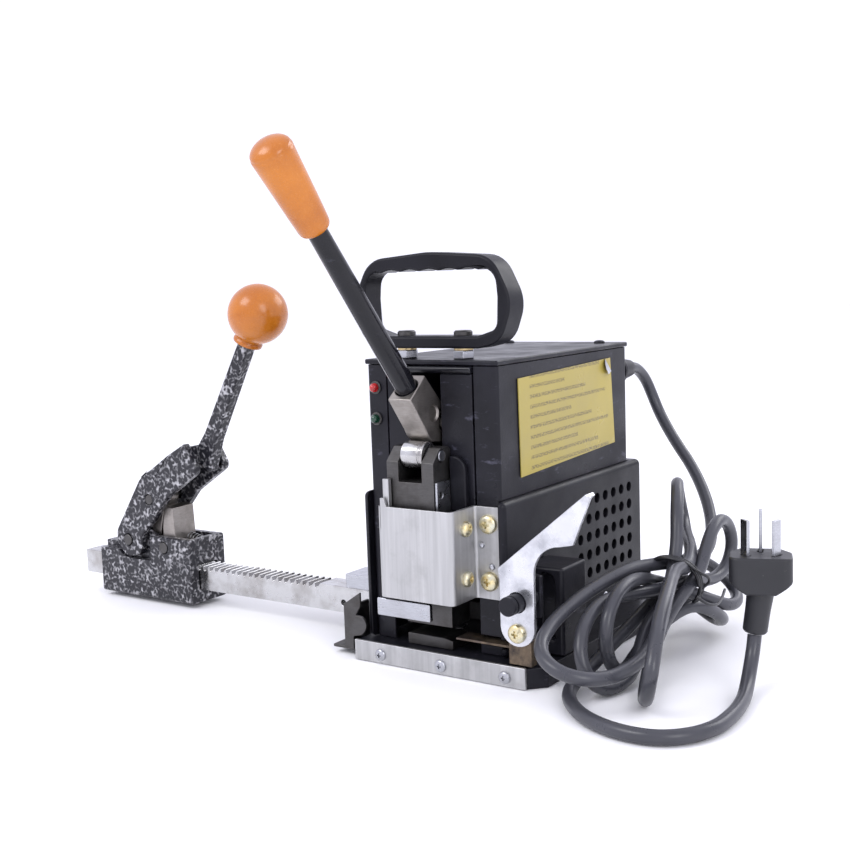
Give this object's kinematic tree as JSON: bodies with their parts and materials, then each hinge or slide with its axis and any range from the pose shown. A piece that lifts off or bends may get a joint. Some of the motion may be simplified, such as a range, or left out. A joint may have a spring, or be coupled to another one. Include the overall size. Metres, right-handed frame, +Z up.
{
  "type": "strapping tool",
  "caption": "Bench-standing hot-melt strapping tool with a hand press lever, rack tensioner, hinged heater lever, carry handle, and a tied mains lead with its plug.",
  "frame": {"origin": "centre of the head's base plate, on its underside", "axes": "+X along the rack bar towards the mains cord, +Y to the back of the head, +Z up"},
  "size_m": [0.4995, 0.3221, 0.2785],
  "materials": {
    "black_steel": "semi-gloss black paint with grey scuffs",
    "black_gloss": "glossy black enamel",
    "dark_steel": "dark blackened steel, worn bright at the edges",
    "black_plastic": "moulded black plastic with a fine grain",
    "bright_steel": "zinc-plated steel",
    "bare_steel": "bare machined steel, brown-grey with light tarnish",
    "chrome_steel": "ground and chromed steel",
    "aluminium": "white brushed aluminium",
    "zinc_yellow": "yellow zinc passivate",
    "orange_plastic": "glossy orange phenolic",
    "spring_steel": "dark spring wire",
    "heat_stained_steel": "heat-stained steel",
    "hammertone": "black and silver hammered enamel",
    "red_lens": "clear red lens",
    "green_lens": "clear green lens",
    "yellow_label": "printed yellow sticker",
    "copper": "enamelled copper winding",
    "grey_cord": "smooth grey PVC sheath",
    "grey_plug": "moulded dark grey PVC"
  },
  "bodies": {
    "head": {"base_plate": "black_steel", "front_strip": "aluminium", "left_bracket": "dark_steel", "anvil": "dark_steel", "chassis": "black_steel", "lower_cover": "black_plastic", "top_plate": "black_steel", "frame_plate_left": "black_steel", "frame_plate_right": "black_steel", "lever_pivot_pin": "dark_steel", "crossbar": "black_gloss", "spring_cover": "black_plastic", "guard_plate": "aluminium", "guard_screw_upper": "zinc_yellow", "guard_screw_lower": "zinc_yellow", "guide_strip": "aluminium", "strap_bar": "bright_steel", "press_spring": "spring_steel", "heater_pin": "black_steel", "heater_bracket": "black_steel", "heater_shield": "black_steel", "rack_bar": "chrome_steel", "rack_clamp": "bright_steel", "carry_handle": "black_plastic", "handle_bolt_left": "bright_steel", "handle_bolt_right": "bright_steel", "led_red": "red_lens", "led_green": "green_lens", "label": "yellow_label", "transformer_core": "dark_steel", "transformer_coil": "copper", "cable_gland": "black_plastic", "cord_lead": "grey_cord", "cord_hank": "grey_cord", "cord_tail": "grey_cord", "plug_body": "grey_plug", "plug_pin_left": "bright_steel", "plug_pin_earth": "bright_steel", "plug_pin_right": "bright_steel"},
    "press_lever": {"lever_block": "bare_steel", "lever_rod": "black_gloss", "lever_grip": "orange_plastic"},
    "ram": {"ram_block": "dark_steel", "ram_side_plate": "bright_steel", "roller_pin": "bright_steel"},
    "roller": {"roller": "chrome_steel"},
    "heater_lever": {"heater_lever": "bright_steel", "heater_screw": "bright_steel"},
    "heater_blade": {"heater_block": "heat_stained_steel", "heater_blade": "heat_stained_steel"},
    "carriage": {"carriage_body": "hammertone", "tension_pin": "dark_steel", "pawl_pin": "dark_steel", "pawl_spring": "spring_steel"},
    "tension_lever": {"tension_lever": "hammertone", "ball_knob": "orange_plastic", "drive_pin": "dark_steel"},
    "drive_pawl": {"drive_pawl": "bare_steel"},
    "hold_pawl": {"hold_pawl": "bare_steel"}
  },
  "joints": [
    {"name": "press_lever", "type": "hinge", "parent": "head", "child": "press_lever", "pos_m": [-0.0025, -0.071, 0.134], "axis": [1, 0, 0], "range_deg": [0, 38], "stiffness_Nm_per_rad": 0.5, "springref_deg": -17.19},
    {"name": "ram_slide", "type": "slide", "parent": "head", "child": "ram", "axis": [0, 0, -1], "range_m": [0, 0.0036], "deforming": ["press_spring"]},
    {"name": "roller_spin", "type": "hinge", "parent": "ram", "child": "roller", "pos_m": [-0.0025, -0.0855, 0.1183], "axis": [1, 0, 0], "continuous": true},
    {"name": "heater_lever", "type": "hinge", "parent": "head", "child": "heater_lever", "pos_m": [0.0605, -0.0918, 0.047], "axis": [0, 1, 0], "range_deg": [0, 18]},
    {"name": "heater_slide", "type": "slide", "parent": "head", "child": "heater_blade", "axis": [-1, 0, 0], "range_m": [0, 0.0048]},
    {"name": "carriage_slide", "type": "slide", "parent": "head", "child": "carriage", "axis": [1, 0, 0], "range_m": [-0.015, 0.065]},
    {"name": "tension_lever", "type": "hinge", "parent": "carriage", "child": "tension_lever", "pos_m": [-0.2665, -0.042, 0.0415], "axis": [0, -1, 0], "range_deg": [0, 60]},
    {"name": "drive_pawl", "type": "hinge", "parent": "tension_lever", "child": "drive_pawl", "pos_m": [-0.2445, -0.042, 0.0705], "axis": [0, 1, 0], "range_deg": [0, 7], "stiffness_Nm_per_rad": 0.05, "springref_deg": -17.19},
    {"name": "hold_pawl", "type": "hinge", "parent": "carriage", "child": "hold_pawl", "pos_m": [-0.2325, -0.042, 0.039], "axis": [0, -1, 0], "range_deg": [0, 6], "stiffness_Nm_per_rad": 0.08, "springref_deg": -17.19, "deforming": ["pawl_spring"]}
  ],
  "couplings": [
    {"joint": "ram_slide", "follows": "press_lever", "m_per_rad": 0.005428},
    {"joint": "heater_slide", "follows": "heater_lever", "m_per_rad": 0.0143}
  ]
}
